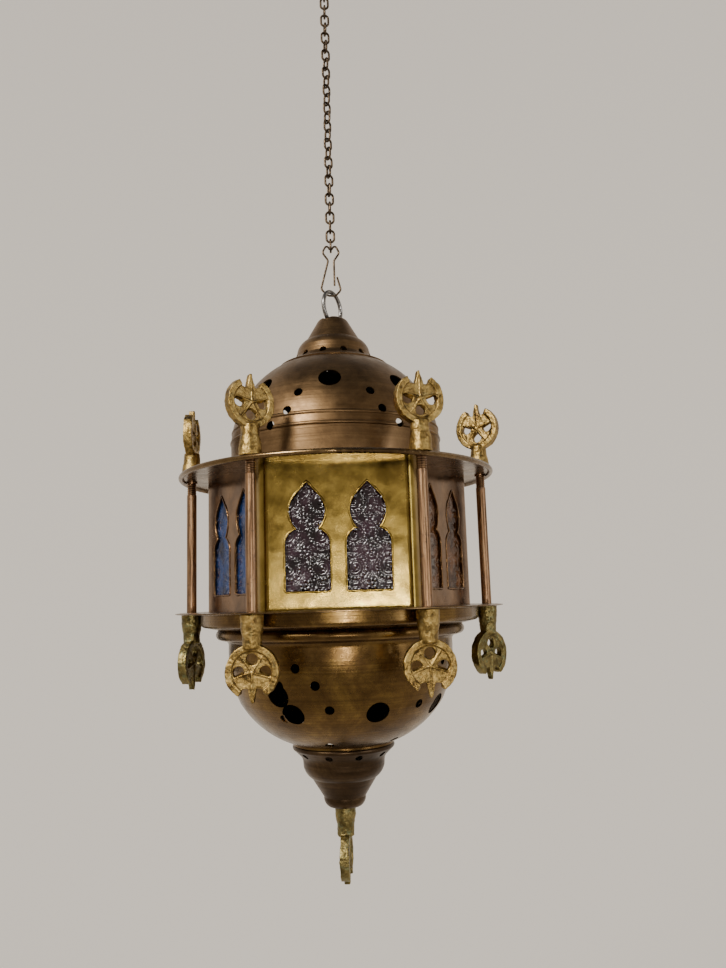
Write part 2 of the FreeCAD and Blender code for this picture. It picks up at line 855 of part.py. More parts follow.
def pane_sizes(of_door):
    """Width, foot height and length of a pane."""
    if of_door:
        return D["door_pane_width"], D["door_pane_base_height"], D["door_pane_length"]
    return D["pane_width"], D["pane_base_height"], D["pane_length"]


def pane(name, number, of_door=False):
    """A glass pane held against the inside of one side of the drum."""
    body = new_body(name)
    wide, low, length = pane_sizes(of_door)
    sketch = new_sketch(body, "XZ_Plane", drum_face - D["drum_sheet"] - D["pane_thickness"])
    trace(sketch, rectangle(wide * -0.5, wide * 0.5, low, low + length))
    feature(body, "Pad", sketch, Length=D["pane_thickness"])
    place(body, z=plate_level, turn=SECTOR * number)


def tab_group(label, numbers, of_door=False):
    """Bent strips for several sides, each a solid of its own."""
    body = new_body(label)
    body.AllowCompound = True
    inside = drum_face - D["drum_sheet"]
    thick, sheet, width = D["pane_thickness"], D["tab_sheet"], D["tab_width"]
    wide, low, length = pane_sizes(of_door)
    high = low + length
    for number in numbers:
        for edge, way in ((low, -1), (high, 1)):
            outline = [
                (inside, edge + 3.0 * way),
                (inside, edge + 0.1 * way),
                (inside - thick - 0.05, edge + 0.1 * way),
                (inside - thick - 0.05, edge - 2.6 * way),
                (inside - thick - 0.05 - sheet, edge - 2.6 * way),
                (inside - thick - 0.05 - sheet, edge + sheet * way + 0.1 * way),
                (inside - sheet, edge + sheet * way + 0.1 * way),
                (inside - sheet, edge + 3.0 * way),
            ]
            for x in (wide * -0.32, wide * 0.32 - width):
                sketch = body.newObject("Sketcher::SketchObject", label + "_sketch")
                sketch.AttachmentSupport = [(origin_feature(body, "XZ_Plane"), "")]
                sketch.MapMode = "FlatFace"
                # the sketch's own X points out from the axis and its normal runs along the side
                spin = Rotation(Vector(0, 1, 0), SECTOR * number - 90)
                away = Rotation(Vector(0, 0, 1), SECTOR * number - 90)
                shift = away.multVec(Vector(0, x.value, 0))
                sketch.AttachmentOffset = Placement(Vector(shift.x, 0, -shift.y), spin)
                trace(sketch, outline)
                feature(body, "Pad", sketch, Length=width, Reversed=True)
    place(body, z=plate_level)


# ---------------------------------------------------------------- columns and finials


def column(name, number):
    """A rod with a necked, ridged top and a stud at each end."""
    body = new_body(name)
    rod, neck, stud = D["column_radius"], D["column_neck_radius"], D["stud_radius"]
    shoulder = roof_height - D["washer_thickness"]
    bottom = -floor_height - D["stud_reach"]
    top = D["top_plate_height"] + D["plate_sheet"] * 0.5 + D["stud_reach"]
    outline = [(0, bottom), (stud, bottom), (stud, floor_height), (rod, floor_height)]
    base = shoulder - D["column_neck_length"]
    outline += [(rod, base), (neck, base + 0.5)]
    ridges = 5
    step = (SIZES["column_neck_length"] - 0.7) / ridges
    for ridge in range(ridges):
        start = base + 0.5 + step * ridge
        outline += [(neck + 0.25, start + step * 0.5), (neck, start + step)]
    outline += [(neck, shoulder), (stud, shoulder), (stud, top), (0, top)]
    revolve(body, outline)
    angle = math.radians(SECTOR * (number + 0.5) - 90)
    circle = D["column_circle"]
    place(body, circle * math.cos(angle), circle * math.sin(angle), plate_level)


def column_washers():
    """Six flat washers under the top plate, one round each column's stud."""
    body = new_body("column_washers")
    body.AllowCompound = True
    angle = math.radians(SECTOR / 2)
    x, y = D["column_circle"] * math.sin(angle), D["column_circle"] * -math.cos(angle)
    sketch = new_sketch(body, "XY_Plane", roof_height - D["washer_thickness"])
    draw_circle(sketch, x, y, D["washer_radius"])
    draw_circle(sketch, x, y, D["stud_radius"] + 0.2)
    washer = feature(body, "Pad", sketch, Length=D["washer_thickness"])
    around(body, [washer], FACES)
    place(body, z=plate_level)


def finial(name, x, y, z, turn, up=True, stud=False):
    """A cast ornament: tapered socket, then a crescent round a five-pointed star.

    It stands on its socket, which is bored for a stud or, on the lowest one, carries it.
    """
    body = new_body(name)
    disc, length = D["finial_disc"], D["finial_length"]
    centre = length - disc * 1.13
    socket, neck = D["finial_socket"], D["finial_neck"]
    pad_face(body, centre, disc, D["finial_web"])
    pad_crescent(body, centre, disc, D["finial_thickness"])
    revolve(
        body,
        [
            (0, 0),
            (socket, 0),
            (socket - 0.2, 5.0),
            (neck + 0.35, 8.2),
            (neck + 0.1, 8.8),
            (neck - 0.1, centre - disc * 0.86),
            (neck - 1.4, centre - disc * 0.80),
            (0, centre - disc * 0.80),
        ],
    )
    holes = new_sketch(body, "XZ_Plane", 6.0)
    hole = disc * 0.215
    for across, along in ((-0.50, 0.0), (0.50, 0.0), (0.0, -0.46)):
        draw_circle(holes, disc * across, centre + disc * along, hole)
    feature(body, "Pocket", holes, Length=12.0)
    if stud:
        pad_round(body, 0, 0, D["stud_radius"], D["stud_reach"], Reversed=True)
    else:
        bore(body, 0, 0, D["stud_radius"] + D["stud_play"], D["stud_reach"] + 1.0, 0, Reversed=True)
    place(body, x, y, z, turn)
    if not up:
        flip = Rotation(Vector(0, 0, 1), turn) * Rotation(Vector(0, 1, 0), 180)
        body.Placement = Placement(body.Placement.Base, flip)


def pad_face(body, centre, disc, thick):
    """The flat plaque: a round outline with a prong and two horns at its open side."""
    outline = [
        (0, centre - disc, disc),
        (disc, centre, disc),
        (disc * 0.5, centre + disc * 0.866, disc),
        (disc * 0.38, centre + disc * 0.62),
        (disc * 0.17, centre + disc * 0.58),
        (disc * 0.04, centre + disc * 1.13),
        (disc * -0.04, centre + disc * 1.13),
        (disc * -0.17, centre + disc * 0.58),
        (disc * -0.38, centre + disc * 0.62),
        (disc * -0.5, centre + disc * 0.866),
        (disc * -1, centre, disc),
    ]
    sketch = new_sketch(body, "XZ_Plane")
    trace(sketch, outline)
    return feature(body, "Pad", sketch, Length=thick, Midplane=True)


def pad_crescent(body, centre, disc, thick):
    """The thicker rim: a ring that is open at the top."""
    inner = disc * 0.76
    outer_tip = (disc * 0.5, centre + disc * 0.866)
    inner_tip = (disc * 0.40, centre + disc * 0.6462)
    outline = [
        (0, centre - disc, disc),
        (disc, centre, disc),
        (*outer_tip, disc),
        inner_tip,
        (inner, centre, inner * -1),
        (0, centre - inner, inner * -1),
        (inner * -1, centre, inner * -1),
        (disc * -0.40, centre + disc * 0.6462, inner * -1),
        (disc * -0.5, centre + disc * 0.866),
        (disc * -1, centre, disc),
    ]
    sketch = new_sketch(body, "XZ_Plane")
    trace(sketch, outline)
    return feature(body, "Pad", sketch, Length=thick, Midplane=True)


def finials():
    """One on the top and one under the foot of every column, and one below the cone."""
    circle = D["column_circle"]
    over = plate_level + D["top_plate_height"] + D["plate_sheet"] * 0.5
    under = plate_level - D["plate_sheet"] * 0.5
    for number, name in enumerate(COLUMN_NAMES):
        angle = math.radians(SECTOR * (number + 0.5) - 90)
        x, y = circle * math.cos(angle), circle * math.sin(angle)
        finial(f"upper_finial_{name}", x, y, over, UPPER_TURNS[number])
        finial(f"lower_finial_{name}", x, y, under, LOWER_TURNS[number], up=False)
    finial("bottom_finial", 0, 0, plate_level + D["cone_base_height"], 84, up=False, stud=True)


def finial_nut():
    """The nut inside the cone that holds the lowest finial."""
    body = new_body("finial_nut")
    sketch = new_sketch(body, "XY_Plane")
    trace(sketch, [(x, y) for x, y, _ in hexagon(as_size(3.5), as_size(0))][::2])
    draw_circle(sketch, 0, 0, D["stud_radius"] + D["stud_play"])
    feature(body, "Pad", sketch, Length=3.0)
    place(body, z=plate_level + D["cone_base_height"] + D["cap_sheet"])


# ---------------------------------------------------------------- candle holder


def candle_bridge():
    """A strip across the bottom plate's opening that carries the cup."""
    body = new_body("candle_bridge")
    reach, half = D["bridge_length"] * 0.5, D["bridge_width"] * 0.5
    pad(body, rectangle(reach * -1, reach, half * -1, half), D["plate_sheet"])
    for x in (D["rivet_circle"] * -1, 0, D["rivet_circle"]):
        bore(body, x, 0, D["rivet_radius"] + 0.05, 4.0, 2.0)
    place(body, z=plate_level + floor_height)


def candle_cup():
    """A shallow round cup for a small candle."""
    body = new_body("candle_cup")
    radius, depth, sheet = D["candle_cup_radius"], D["candle_cup_depth"], D["cap_sheet"]
    outline = [
        (D["rivet_radius"] + 0.05, 0),
        (radius + sheet, 0),
        (radius + sheet, depth),
        (radius, depth),
        (radius, sheet),
        (D["rivet_radius"] + 0.05, sheet),
    ]
    revolve(body, outline)
    place(body, z=plate_level + floor_height + D["plate_sheet"])


def rivet(body, x, low, high, flush=False):
    """A rivet through a stack of sheets, with a round head below and, unless flush, above."""
    head = D["rivet_radius"] * 1.8
    pad_round(body, x, 0, head, as_size(0.9), low - 0.9)
    pad_round(body, x, 0, D["rivet_radius"], high - low, low)
    if not flush:
        pad_round(body, x, 0, head, as_size(0.9), high)


def candle_rivets():
    """One rivet at each end of the bridge and one, flush inside, through the cup's floor."""
    body = new_body("candle_rivets")
    body.AllowCompound = True
    sheet = D["plate_sheet"]
    for x in (D["rivet_circle"] * -1, D["rivet_circle"]):
        rivet(body, x, floor_height * -1, floor_height + sheet)
    rivet(body, as_size(0), floor_height, floor_height + sheet + D["cap_sheet"], flush=True)
    place(body, z=plate_level)


# ---------------------------------------------------------------- build, test and write

ceiling_hook()
chain()
wire_clip()
hanging_ring()
neck_cap()
dome()
top_plate()
bottom_plate()
lower_bowl()
lower_cone()
drum()
door()
door_hinge_pin()
door_knob()
for side, pane_name in enumerate(PANE_NAMES):
    pane(f"glass_{pane_name}", side, of_door=side == DOOR_SIDE)
tab_group("glass_tabs", [n for n in range(FACES) if n != DOOR_SIDE])
tab_group("door_glass_tabs", [DOOR_SIDE], of_door=True)
for side, column_name in enumerate(COLUMN_NAMES):
    column(f"column_{column_name}", side)
column_washers()
finials()
finial_nut()
candle_bridge()
candle_cup()
candle_rivets()

document.recompute()
for thing in document.Objects:
    if "Invalid" in thing.State or "Error" in thing.State:
        raise RuntimeError(f"{thing.Label} did not build: {thing.State}")
os.makedirs("parts", exist_ok=True)
for thing in sub_parts:
    shape = thing.Shape
    if shape.isNull() or not shape.isValid() or not shape.Solids:
        raise RuntimeError(f"{thing.Label} has no valid shape")
    print(f"{thing.Label}: {len(shape.Solids)} solid(s), {shape.Volume:.1f} mm3")
    shape.exportStep(f"parts/{thing.Label}.step")
print(f"{len(sub_parts)} sub-parts, bottom plate at z = {plate_level.value:.3f} mm")
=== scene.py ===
import json
import math

import bmesh
import bpy
import numpy as np
from mathutils import Matrix, Vector, noise

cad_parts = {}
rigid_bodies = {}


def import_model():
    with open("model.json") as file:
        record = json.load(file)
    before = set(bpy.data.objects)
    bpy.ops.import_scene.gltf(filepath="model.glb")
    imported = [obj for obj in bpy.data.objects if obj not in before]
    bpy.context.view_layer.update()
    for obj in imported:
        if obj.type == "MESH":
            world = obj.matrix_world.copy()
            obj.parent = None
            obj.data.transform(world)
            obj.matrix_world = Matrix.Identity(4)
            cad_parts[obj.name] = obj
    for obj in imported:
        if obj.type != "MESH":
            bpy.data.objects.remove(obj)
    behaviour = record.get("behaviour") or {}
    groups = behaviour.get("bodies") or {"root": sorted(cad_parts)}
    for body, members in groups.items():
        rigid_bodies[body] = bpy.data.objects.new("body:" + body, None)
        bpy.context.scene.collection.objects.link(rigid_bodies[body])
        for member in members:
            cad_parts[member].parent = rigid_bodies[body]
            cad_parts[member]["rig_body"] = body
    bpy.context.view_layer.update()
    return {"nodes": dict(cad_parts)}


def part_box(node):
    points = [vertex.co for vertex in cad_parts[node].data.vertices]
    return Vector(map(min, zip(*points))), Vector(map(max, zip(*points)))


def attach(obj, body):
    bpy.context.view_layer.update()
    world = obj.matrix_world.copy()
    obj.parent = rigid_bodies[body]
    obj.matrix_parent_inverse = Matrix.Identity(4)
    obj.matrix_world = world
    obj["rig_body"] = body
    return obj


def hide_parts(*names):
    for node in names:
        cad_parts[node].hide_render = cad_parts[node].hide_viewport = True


# A brass candle lantern on a chain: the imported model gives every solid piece, and this
# script adds cast ornaments, patterned glass, punched lips, materials, light and a camera.
# Metres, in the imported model's frame. MM turns millimetres into metres.

MM = 0.001
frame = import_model()
nodes = frame["nodes"]

PLATE = (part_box("bottom_plate")[0].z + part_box("bottom_plate")[1].z) / 2
DISC = 11.4 * MM
PLAQUE_HEIGHT = 36.6 * MM - DISC * 1.13
BOTTOM_STUD = 7.0 * MM
SHORTEST_WINDOW, LONGEST_WINDOW = 0.09, 0.17
LIP_WIDTH, LIP_HEIGHT = 0.95 * MM, 0.34 * MM
# Each pane: the heading it faces, in degrees, and its colour's slot.
PANES = {
    "glass_front": (-90, "purple_glass"),
    "glass_front_right": (-30, "amber_glass"),
    "glass_rear_right": (30, "blue_glass"),
    "glass_door": (90, "amber_glass"),
    "glass_rear_left": (150, "purple_glass"),
    "glass_front_left": (210, "blue_glass"),
}


# ---------------------------------------------------------------- camera, light and room


def aim_camera():
    """A phone held just under the drum, tipped up and rolled a little."""
    yaw, pitch, roll = (math.radians(a) for a in (1.859, 8.433, -1.793))
    ahead = Vector((math.sin(yaw) * math.cos(pitch), math.cos(yaw) * math.cos(pitch), math.sin(pitch)))
    right = Vector((math.cos(yaw), -math.sin(yaw), 0))
    up = right.cross(ahead)
    side = right * math.cos(roll) + up * math.sin(roll)
    top = up * math.cos(roll) - right * math.sin(roll)
    turn = Matrix((side, top, -ahead)).transposed().to_4x4()
    data = bpy.data.cameras.new("view")
    data.lens = 29.32
    data.sensor_width = 36
    data.clip_start = 0.01
    camera = bpy.data.objects.new("view", data)
    bpy.context.scene.collection.objects.link(camera)
    camera.matrix_world = Matrix.Translation((0.00043, -0.40346, PLATE + 0.00368)) @ turn
    bpy.context.scene.camera = camera


def add_light(name, place, target, size, power, color):
    data = bpy.data.lights.new(name, "AREA")
    data.shape = "RECTANGLE"
    data.size, data.size_y = size
    data.energy = power
    data.color = color
    lamp = bpy.data.objects.new(name, data)
    bpy.context.scene.collection.objects.link(lamp)
    lamp.location = place
    lamp.rotation_euler = (Vector(target) - Vector(place)).to_track_quat("-Z", "Y").to_euler()


def light_room():
    middle = (0, 0, PLATE + 0.03)
    add_light("key", (-0.75, -0.95, PLATE + 0.75), middle, (0.4, 0.5), 24, (1.0, 0.97, 0.92))
    add_light("fill", (0.95, -0.7, PLATE + 0.15), middle, (0.3, 0.8), 3.2, (0.92, 0.95, 1.0))
    add_light("glint", (0.05, -1.0, PLATE - 0.06), middle, (0.16, 0.07), 2.2, (1.0, 0.96, 0.9))
    world = bpy.data.worlds.new("room")
    bpy.context.scene.world = world
    world.use_nodes = True
    sky = world.node_tree.nodes["Background"]
    sky.inputs["Color"].default_value = (0.80, 0.80, 0.82, 1)
    sky.inputs["Strength"].default_value = 0.16


def add_room():
    """A wide pale floor that curves up into a round wall on every side."""
    reach, bend, floor_z, count = 3.0, 1.5, PLATE - 1.8, 96
    profile = [(0.001, floor_z), (0.6, floor_z), (1.1, floor_z)]
    profile += [
        (reach - bend + bend * math.sin(a), floor_z + bend - bend * math.cos(a))
        for a in np.linspace(0, math.pi / 2, 24)
    ]
    profile.append((reach, floor_z + 6.0))
    verts = [
        (radius * math.cos(a), radius * math.sin(a), z)
        for radius, z in profile
        for a in np.linspace(0, 2 * math.pi, count, endpoint=False)
    ]
    faces = [
        (row + i, row + (i + 1) % count, row + count + (i + 1) % count, row + count + i)
        for row in range(0, (len(profile) - 1) * count, count)
        for i in range(count)
    ]
    mesh = bpy.data.meshes.new("backdrop")
    mesh.from_pydata(verts, [], faces)
    mesh.shade_smooth()
    room = bpy.data.objects.new("backdrop", mesh)
    bpy.context.scene.collection.objects.link(room)
    room.data.materials.append(plaster())


# ---------------------------------------------------------------- shader building blocks


class Shader:
    """A material with one principled shader and short ways to add texture nodes."""

    def __init__(self, name, color, metallic, roughness):
        self.material = bpy.data.materials.new(name)
        self.material.use_nodes = True
        self.tree = self.material.node_tree
        self.tree.nodes.clear()
        output = self.add("OutputMaterial")
        self.main = self.add("BsdfPrincipled")
        self.tree.links.new(self.main.outputs["BSDF"], output.inputs["Surface"])
        self.main.inputs["Base Color"].default_value = (*color, 1)
        self.main.inputs["Metallic"].default_value = metallic
        self.main.inputs["Roughness"].default_value = roughness
        self.place = self.add("TexCoord").outputs["Object"]
        self.normal = None

    def add(self, kind, **settings):
        made = self.tree.nodes.new("ShaderNode" + kind)
        for name, value in settings.items():
            setattr(made, name, value)
        return made

    def plug(self, socket, value):
        if isinstance(value, bpy.types.NodeSocket):
            self.tree.links.new(value, socket)
        else:
            socket.default_value = value

    def math(self, operation, first, second=0.0):
        made = self.add("Math", operation=operation)
        self.plug(made.inputs[0], first)
        self.plug(made.inputs[1], second)
        return made.outputs[0]

    def stretch(self, scale, turn=(0, 0, 0)):
        made = self.add("Mapping")
        self.plug(made.inputs["Vector"], self.place)
        made.inputs["Scale"].default_value = scale
        made.inputs["Rotation"].default_value = turn
        return made.outputs[0]

    def rings(self):
        """Coordinates that change only with height and with distance from the axis."""
        split = self.add("SeparateXYZ")
        self.plug(split.inputs[0], self.place)
        x, y = split.outputs[0], split.outputs[1]
        square = self.math("ADD", self.math("MULTIPLY", x, x), self.math("MULTIPLY", y, y))
        join = self.add("CombineXYZ")
        self.plug(join.inputs[0], self.math("SQRT", square))
        self.plug(join.inputs[2], split.outputs[2])
        return join.outputs[0]

    def noise(self, scale, detail=4.0, rough=0.55, at=None, warp=0.0):
        made = self.add("TexNoise")
        self.plug(made.inputs["Vector"], at or self.place)
        made.inputs["Scale"].default_value = scale
        made.inputs["Detail"].default_value = detail
        made.inputs["Roughness"].default_value = rough
        made.inputs["Distortion"].default_value = warp
        return made.outputs["Fac"]

    def cells(self, scale):
        made = self.add("TexVoronoi")
        self.plug(made.inputs["Vector"], self.place)
        made.inputs["Scale"].default_value = scale
        return made.outputs["Distance"]

    def ramp(self, factor, *stops):
        made = self.add("ValToRGB")
        self.plug(made.inputs[0], factor)
        line = made.color_ramp
        while len(line.elements) < len(stops):
            line.elements.new(0.5)
        for element, (place, color) in zip(line.elements, stops):
            element.position = place
            element.color = (*color, 1) if len(color) == 3 else color
        return made.outputs[0]

    def span(self, factor, low, high, start=0.3, end=0.7):
        made = self.add("MapRange")
        self.plug(made.inputs["Value"], factor)
        for name, value in (("From Min", start), ("From Max", end), ("To Min", low), ("To Max", high)):
            made.inputs[name].default_value = value
        return made.outputs[0]

    def mix(self, factor, first, second, blend="MIX"):
        made = self.add("Mix", data_type="RGBA", blend_type=blend)
        self.plug(made.inputs["Factor"], factor)
        for socket, value in ((made.inputs[6], first), (made.inputs[7], second)):
            self.plug(socket, (*value, 1) if isinstance(value, tuple) else value)
        return made.outputs[2]

    def bump(self, height, strength, depth):
        made = self.add("Bump")
        made.inputs["Strength"].default_value = strength
        made.inputs["Distance"].default_value = depth
        self.plug(made.inputs["Height"], height)
        if self.normal:
            self.plug(made.inputs["Normal"], self.normal)
        self.normal = made.outputs[0]

    def scratches(self, strength):
        """Fine scratches in three directions."""
        for scale, turn in (
            ((260, 260, 9000), (0.15, 0.3, 0.1)),
            ((6500, 5200, 240), (0.5, -0.25, 0.4)),
            ((400, 7000, 3000), (-0.6, 0.45, 0.8)),
        ):
            self.bump(self.noise(1.0, 2.0, 0.5, self.stretch(scale, turn)), strength, 0.02 * MM)

    def edges(self):
        """Pointiness: high on edges, low in hollows; the mask for the painted hollow shade."""
        return self.add("NewGeometry").outputs["Pointiness"]

    def done(self, color=None, roughness=None):
        if color is not None:
            self.plug(self.main.inputs["Base Color"], color)
        if roughness is not None:
            self.plug(self.main.inputs["Roughness"], roughness)
        if self.normal:
            self.plug(self.main.inputs["Normal"], self.normal)
        return self.material


# ---------------------------------------------------------------- materials


def plaster():
    """Pale plaster with its own soft glow, brighter behind the lantern than in front of it."""
    wall = Shader("plaster", (0.36, 0.33, 0.29), 0.0, 0.9)
    wall.bump(wall.noise(60, 5), 0.25, 0.002)
    split = wall.add("SeparateXYZ")
    wall.plug(split.inputs[0], wall.place)
    wall.main.inputs["Emission Color"].default_value = (0.81, 0.745, 0.66, 1)
    wall.plug(wall.main.inputs["Emission Strength"], wall.span(split.outputs[1], 0.14, 0.78, -2.6, 2.6))
    return wall.done()


def polished_brass():
    """Hand-polished sheet: golden, wavy, scratched, with brown stains; every face but the front one is
    painted darker brown as shade.
    """
    brass = Shader("polished_brass", (0.80, 0.58, 0.25), 1.0, 0.24)
    stains = brass.noise(55, 7, 0.62, warp=0.6)
    color = brass.ramp(
        stains, (0.26, (0.14, 0.085, 0.022)), (0.48, (0.29, 0.20, 0.048)), (0.72, (0.45, 0.32, 0.09))
    )
    split = brass.add("SeparateXYZ")
    brass.plug(split.inputs[0], brass.place)
    # Painted shade: every face behind the front one (y above -56 mm) is mixed up to 85 % towards a darker
    # brown.
    side_shade_mask = brass.span(split.outputs[1], 0.0, 0.85, -0.0560, -0.0500)
    brown = brass.ramp(stains, (0.30, (0.085, 0.04, 0.022)), (0.65, (0.22, 0.115, 0.062)))
    color = brass.mix(side_shade_mask, color, brown)
    specks = brass.noise(1500, 3, 0.6)
    color = brass.mix(brass.span(specks, 0.0, 0.45, 0.60, 0.72), color, (0.16, 0.09, 0.04))
    brass.bump(brass.noise(38, 2), 0.45, 0.9 * MM)
    brass.bump(brass.noise(420, 3), 0.14, 0.12 * MM)
    brass.scratches(0.30)
    rough = brass.span(brass.noise(120, 5), 0.14, 0.30)
    return brass.done(color, rough)


def spun_brass(name, tones, rough_low, rough_high):
    """Lathe-spun sheet with fine rings and a patchy patina."""
    brass = Shader(name, tones[1], 1.0, rough_low)
    rings = brass.rings()
    patina = brass.noise(45, 8, 0.70, warp=0.5)
    color = brass.ramp(patina, (0.28, tones[0]), (0.50, tones[1]), (0.74, tones[2]))
    lines = brass.noise(900, 2, 0.5, rings)
    color = brass.mix(brass.span(lines, 0.0, 0.45), color, tones[0])
    specks = brass.noise(1900, 3, 0.6)
    color = brass.mix(brass.span(specks, 0.0, 0.55, 0.58, 0.70), color, (0.07, 0.045, 0.025))
    brass.bump(lines, 0.50, 0.12 * MM)
    brass.bump(brass.noise(2600, 1, 0.5, rings), 0.22, 0.04 * MM)
    brass.bump(brass.noise(120, 3), 0.20, 0.5 * MM)
    brass.bump(brass.noise(1400, 4), 0.12, 0.05 * MM)
    rough = brass.span(brass.noise(160, 6, 0.65), rough_low, rough_high)
    return brass.done(color, rough)


def cast_brass(name, tones, green):
    """Sand-cast brass: grainy, with painted shade darkening the hollows; the edges keep the full colour.
    """
    brass = Shader(name, tones[1], 1.0, 0.36)
    mottle = brass.noise(260, 6, 0.6)
    color = brass.ramp(mottle, (0.34, tones[0]), (0.50, tones[1]), (0.66, tones[2]))
    # Painted shade: the hollows, where pointiness is low, are mixed three quarters of the way towards
    # dark brown.
    hollows = brass.ramp(brass.edges(), (0.45, (0, 0, 0)), (0.53, (1, 1, 1)))
    color = brass.mix(hollows, brass.mix(0.75, color, (0.07, 0.04, 0.02)), color)
    crust = brass.span(brass.noise(420, 5, 0.7), 0.0, green, 0.52, 0.66)
    color = brass.mix(crust, color, (0.19, 0.22, 0.12))
    brass.bump(brass.noise(700, 5, 0.6), 0.80, 0.26 * MM)
    brass.bump(brass.noise(3000, 3, 0.6), 0.35, 0.07 * MM)
    brass.bump(brass.cells(1300), 0.18, 0.12 * MM)
    rough = brass.span(mottle, 0.28, 0.55)
    return brass.done(color, rough)


def copper_rod():
    """Drawn rod, copper-brown, with lengthwise streaks."""
    rod = Shader("copper_rod", (0.48, 0.28, 0.17), 1.0, 0.34)
    streaks = rod.noise(1.0, 4, 0.6, rod.stretch((1400, 1400, 60)))
    color = rod.ramp(
        streaks, (0.32, (0.10, 0.055, 0.03)), (0.50, (0.26, 0.15, 0.08)), (0.68, (0.42, 0.27, 0.15))
    )
    spots = rod.span(rod.noise(520, 5, 0.7), 0.0, 0.8, 0.54, 0.68)
    color = rod.mix(spots, color, (0.12, 0.075, 0.05))
    rod.bump(streaks, 0.25, 0.06 * MM)
    rod.bump(rod.noise(1500, 4), 0.25, 0.06 * MM)
    return rod.done(color, rod.span(streaks, 0.26, 0.46))


def wire_metal(name, tones, rough):
    wire = Shader(name, tones[1], 1.0, rough)
    spots = wire.noise(900, 6, 0.65)
    color = wire.ramp(spots, (0.34, tones[0]), (0.50, tones[1]), (0.66, tones[2]))
    wire.bump(wire.noise(2200, 4), 0.35, 0.05 * MM)
    return wire.done(color, wire.span(spots, rough + 0.16, rough - 0.08))


def pressed_glass(name, deep, bright):
    """Thick coloured glass: nearly black in the hollows, glossy on the raised lines."""
    glass = Shader(name, deep, 0.0, 0.10)
    tone = glass.noise(120, 3, 0.5)
    color = glass.mix(glass.span(tone, 0.0, 1.0, 0.38, 0.62), deep, bright)
    glass.bump(glass.noise(200, 2), 0.12, 0.20 * MM)
    glass.bump(glass.noise(1800, 3), 0.05, 0.03 * MM)
    glass.main.inputs["IOR"].default_value = 1.6
    glass.main.inputs["Transmission Weight"].default_value = 0.3
    glass.main.inputs["Coat Weight"].default_value = 0.15
    glass.main.inputs["Coat Roughness"].default_value = 0.06
    return glass.done(color, glass.span(tone, 0.07, 0.20))


def paint(name, material):
    node = nodes[name]
    node.data.materials.clear()
    node.data.materials.append(material)


# ---------------------------------------------------------------- mesh building blocks


def add_piece(name, mesh, body, material):
    piece = bpy.data.objects.new(name, mesh)
    bpy.context.scene.collection.objects.link(piece)
    mesh.materials.clear()
    mesh.materials.append(material)
    mesh.shade_smooth()
    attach(piece, body)
    return piece


def welded(node):
    """A copy of a CAD node's mesh with its split corners joined."""
    copy = bmesh.new()
    copy.from_mesh(nodes[node].data)
    bmesh.ops.remove_doubles(copy, verts=copy.verts, dist=1e-7)
    return copy


def punched_edges(node, centre_of, shortest, longest):
    """Closed runs of points round the holes in a node's outer skin.

    centre_of gives the point inside the object that a place on the skin faces away from.
    """
    mesh = welded(node)
    links = {}
    for edge in mesh.edges:
        if len(edge.link_faces) != 2 or edge.calc_face_angle(0) < math.radians(40):
            continue
        middle = (edge.verts[0].co + edge.verts[1].co) / 2
        away = (middle - centre_of(middle)).normalized()
        facing = sorted(face.normal.dot(away) for face in edge.link_faces)
        if facing[1] > 0.6 and facing[0] < 0.35:
            for near, far in (edge.verts, reversed(edge.verts)):
                links.setdefault(near.index, []).append(far.index)
    mesh.verts.ensure_lookup_table()
    runs, seen = [], set()
    for start in links:
        if start in seen or len(links[start]) != 2:
            continue
        run, here, before = [start], links[start][0], start
        while here != start and len(links[here]) == 2 and here not in run[-2:]:
            run.append(here)
            ahead = [i for i in links[here] if i != before]
            if not ahead:
                break
            before, here = here, ahead[0]
        seen.update(run)
        points = [mesh.verts[i].co.copy() for i in run]
        length = sum((a - b).length for a, b in zip(points, points[1:] + points[:1]))
        if here == start and shortest < length < longest:
            runs.append(points)
    mesh.free()
    return runs


def resample(points, step):
    """Evenly spaced points along a closed run."""
    closed = np.array([list(p) for p in points] + [list(points[0])])
    along = np.concatenate([[0], np.cumsum(np.linalg.norm(np.diff(closed, axis=0), axis=1))])
    count = max(12, int(along[-1] / step))
    spots = np.linspace(0, along[-1], count, endpoint=False)
    return [Vector([np.interp(s, along, closed[:, k]) for k in range(3)]) for s in spots]


def lip_mesh(name, runs, centre_of, width, height, uneven):
    """Rounded, slightly ragged lips lying along closed runs of points."""
    verts, faces = [], []
    sides = 8
    for number, run in enumerate(runs):
        points = resample(run, width * 0.8)
        middle = sum(points, Vector()) / len(points)
        first = len(verts)
        for index, point in enumerate(points):
            ahead = points[(index + 1) % len(points)] - points[index - 1]
            away = (point - centre_of(point)).normalized()
            out = ahead.normalized().cross(away).normalized()
            if out.dot(point - middle) < 0:
                out = -out
            wave = noise.noise(point * 420 + Vector((number, 0, 0)))
            fine = noise.noise(point * 1700)
            swell = 1 + uneven * (1.3 * wave + 0.7 * fine)
            base = point + out * width * 0.35 * swell
            for side in range(sides):
                a = 2 * math.pi * side / sides
                verts.append(
                    base + out * math.cos(a) * width * 0.5 * swell + away * math.sin(a) * height * swell
                )
        count = len(points)
        for index in range(count):
            for side in range(sides):
                a, b = first + index * sides, first + (index + 1) % count * sides
                turn = (side + 1) % sides
                faces.append((a + side, a + turn, b + turn, b + side))
    mesh = bpy.data.meshes.new(name)
    mesh.from_pydata(verts, [], faces)
    flat = bmesh.new()
    flat.from_mesh(mesh)
    bmesh.ops.recalc_face_normals(flat, faces=flat.faces)
    flat.to_mesh(mesh)
    flat.free()
    return mesh


def on_axis(point):
    return Vector((0, 0, point.z))


# ---------------------------------------------------------------- patterned glass


def ridge(distance, width, height):
    return height * np.exp(-((distance / width) ** 2))


def beads(radius, angle, ring, count, size, height):
    """A ring of round beads."""
    step = 2 * np.pi / count
    offset = (angle + step / 2) % step - step / 2
    distance = np.hypot(radius - ring, radius * offset)
    return height * np.sqrt(np.clip(1 - (distance / size) ** 2, 0, 1))


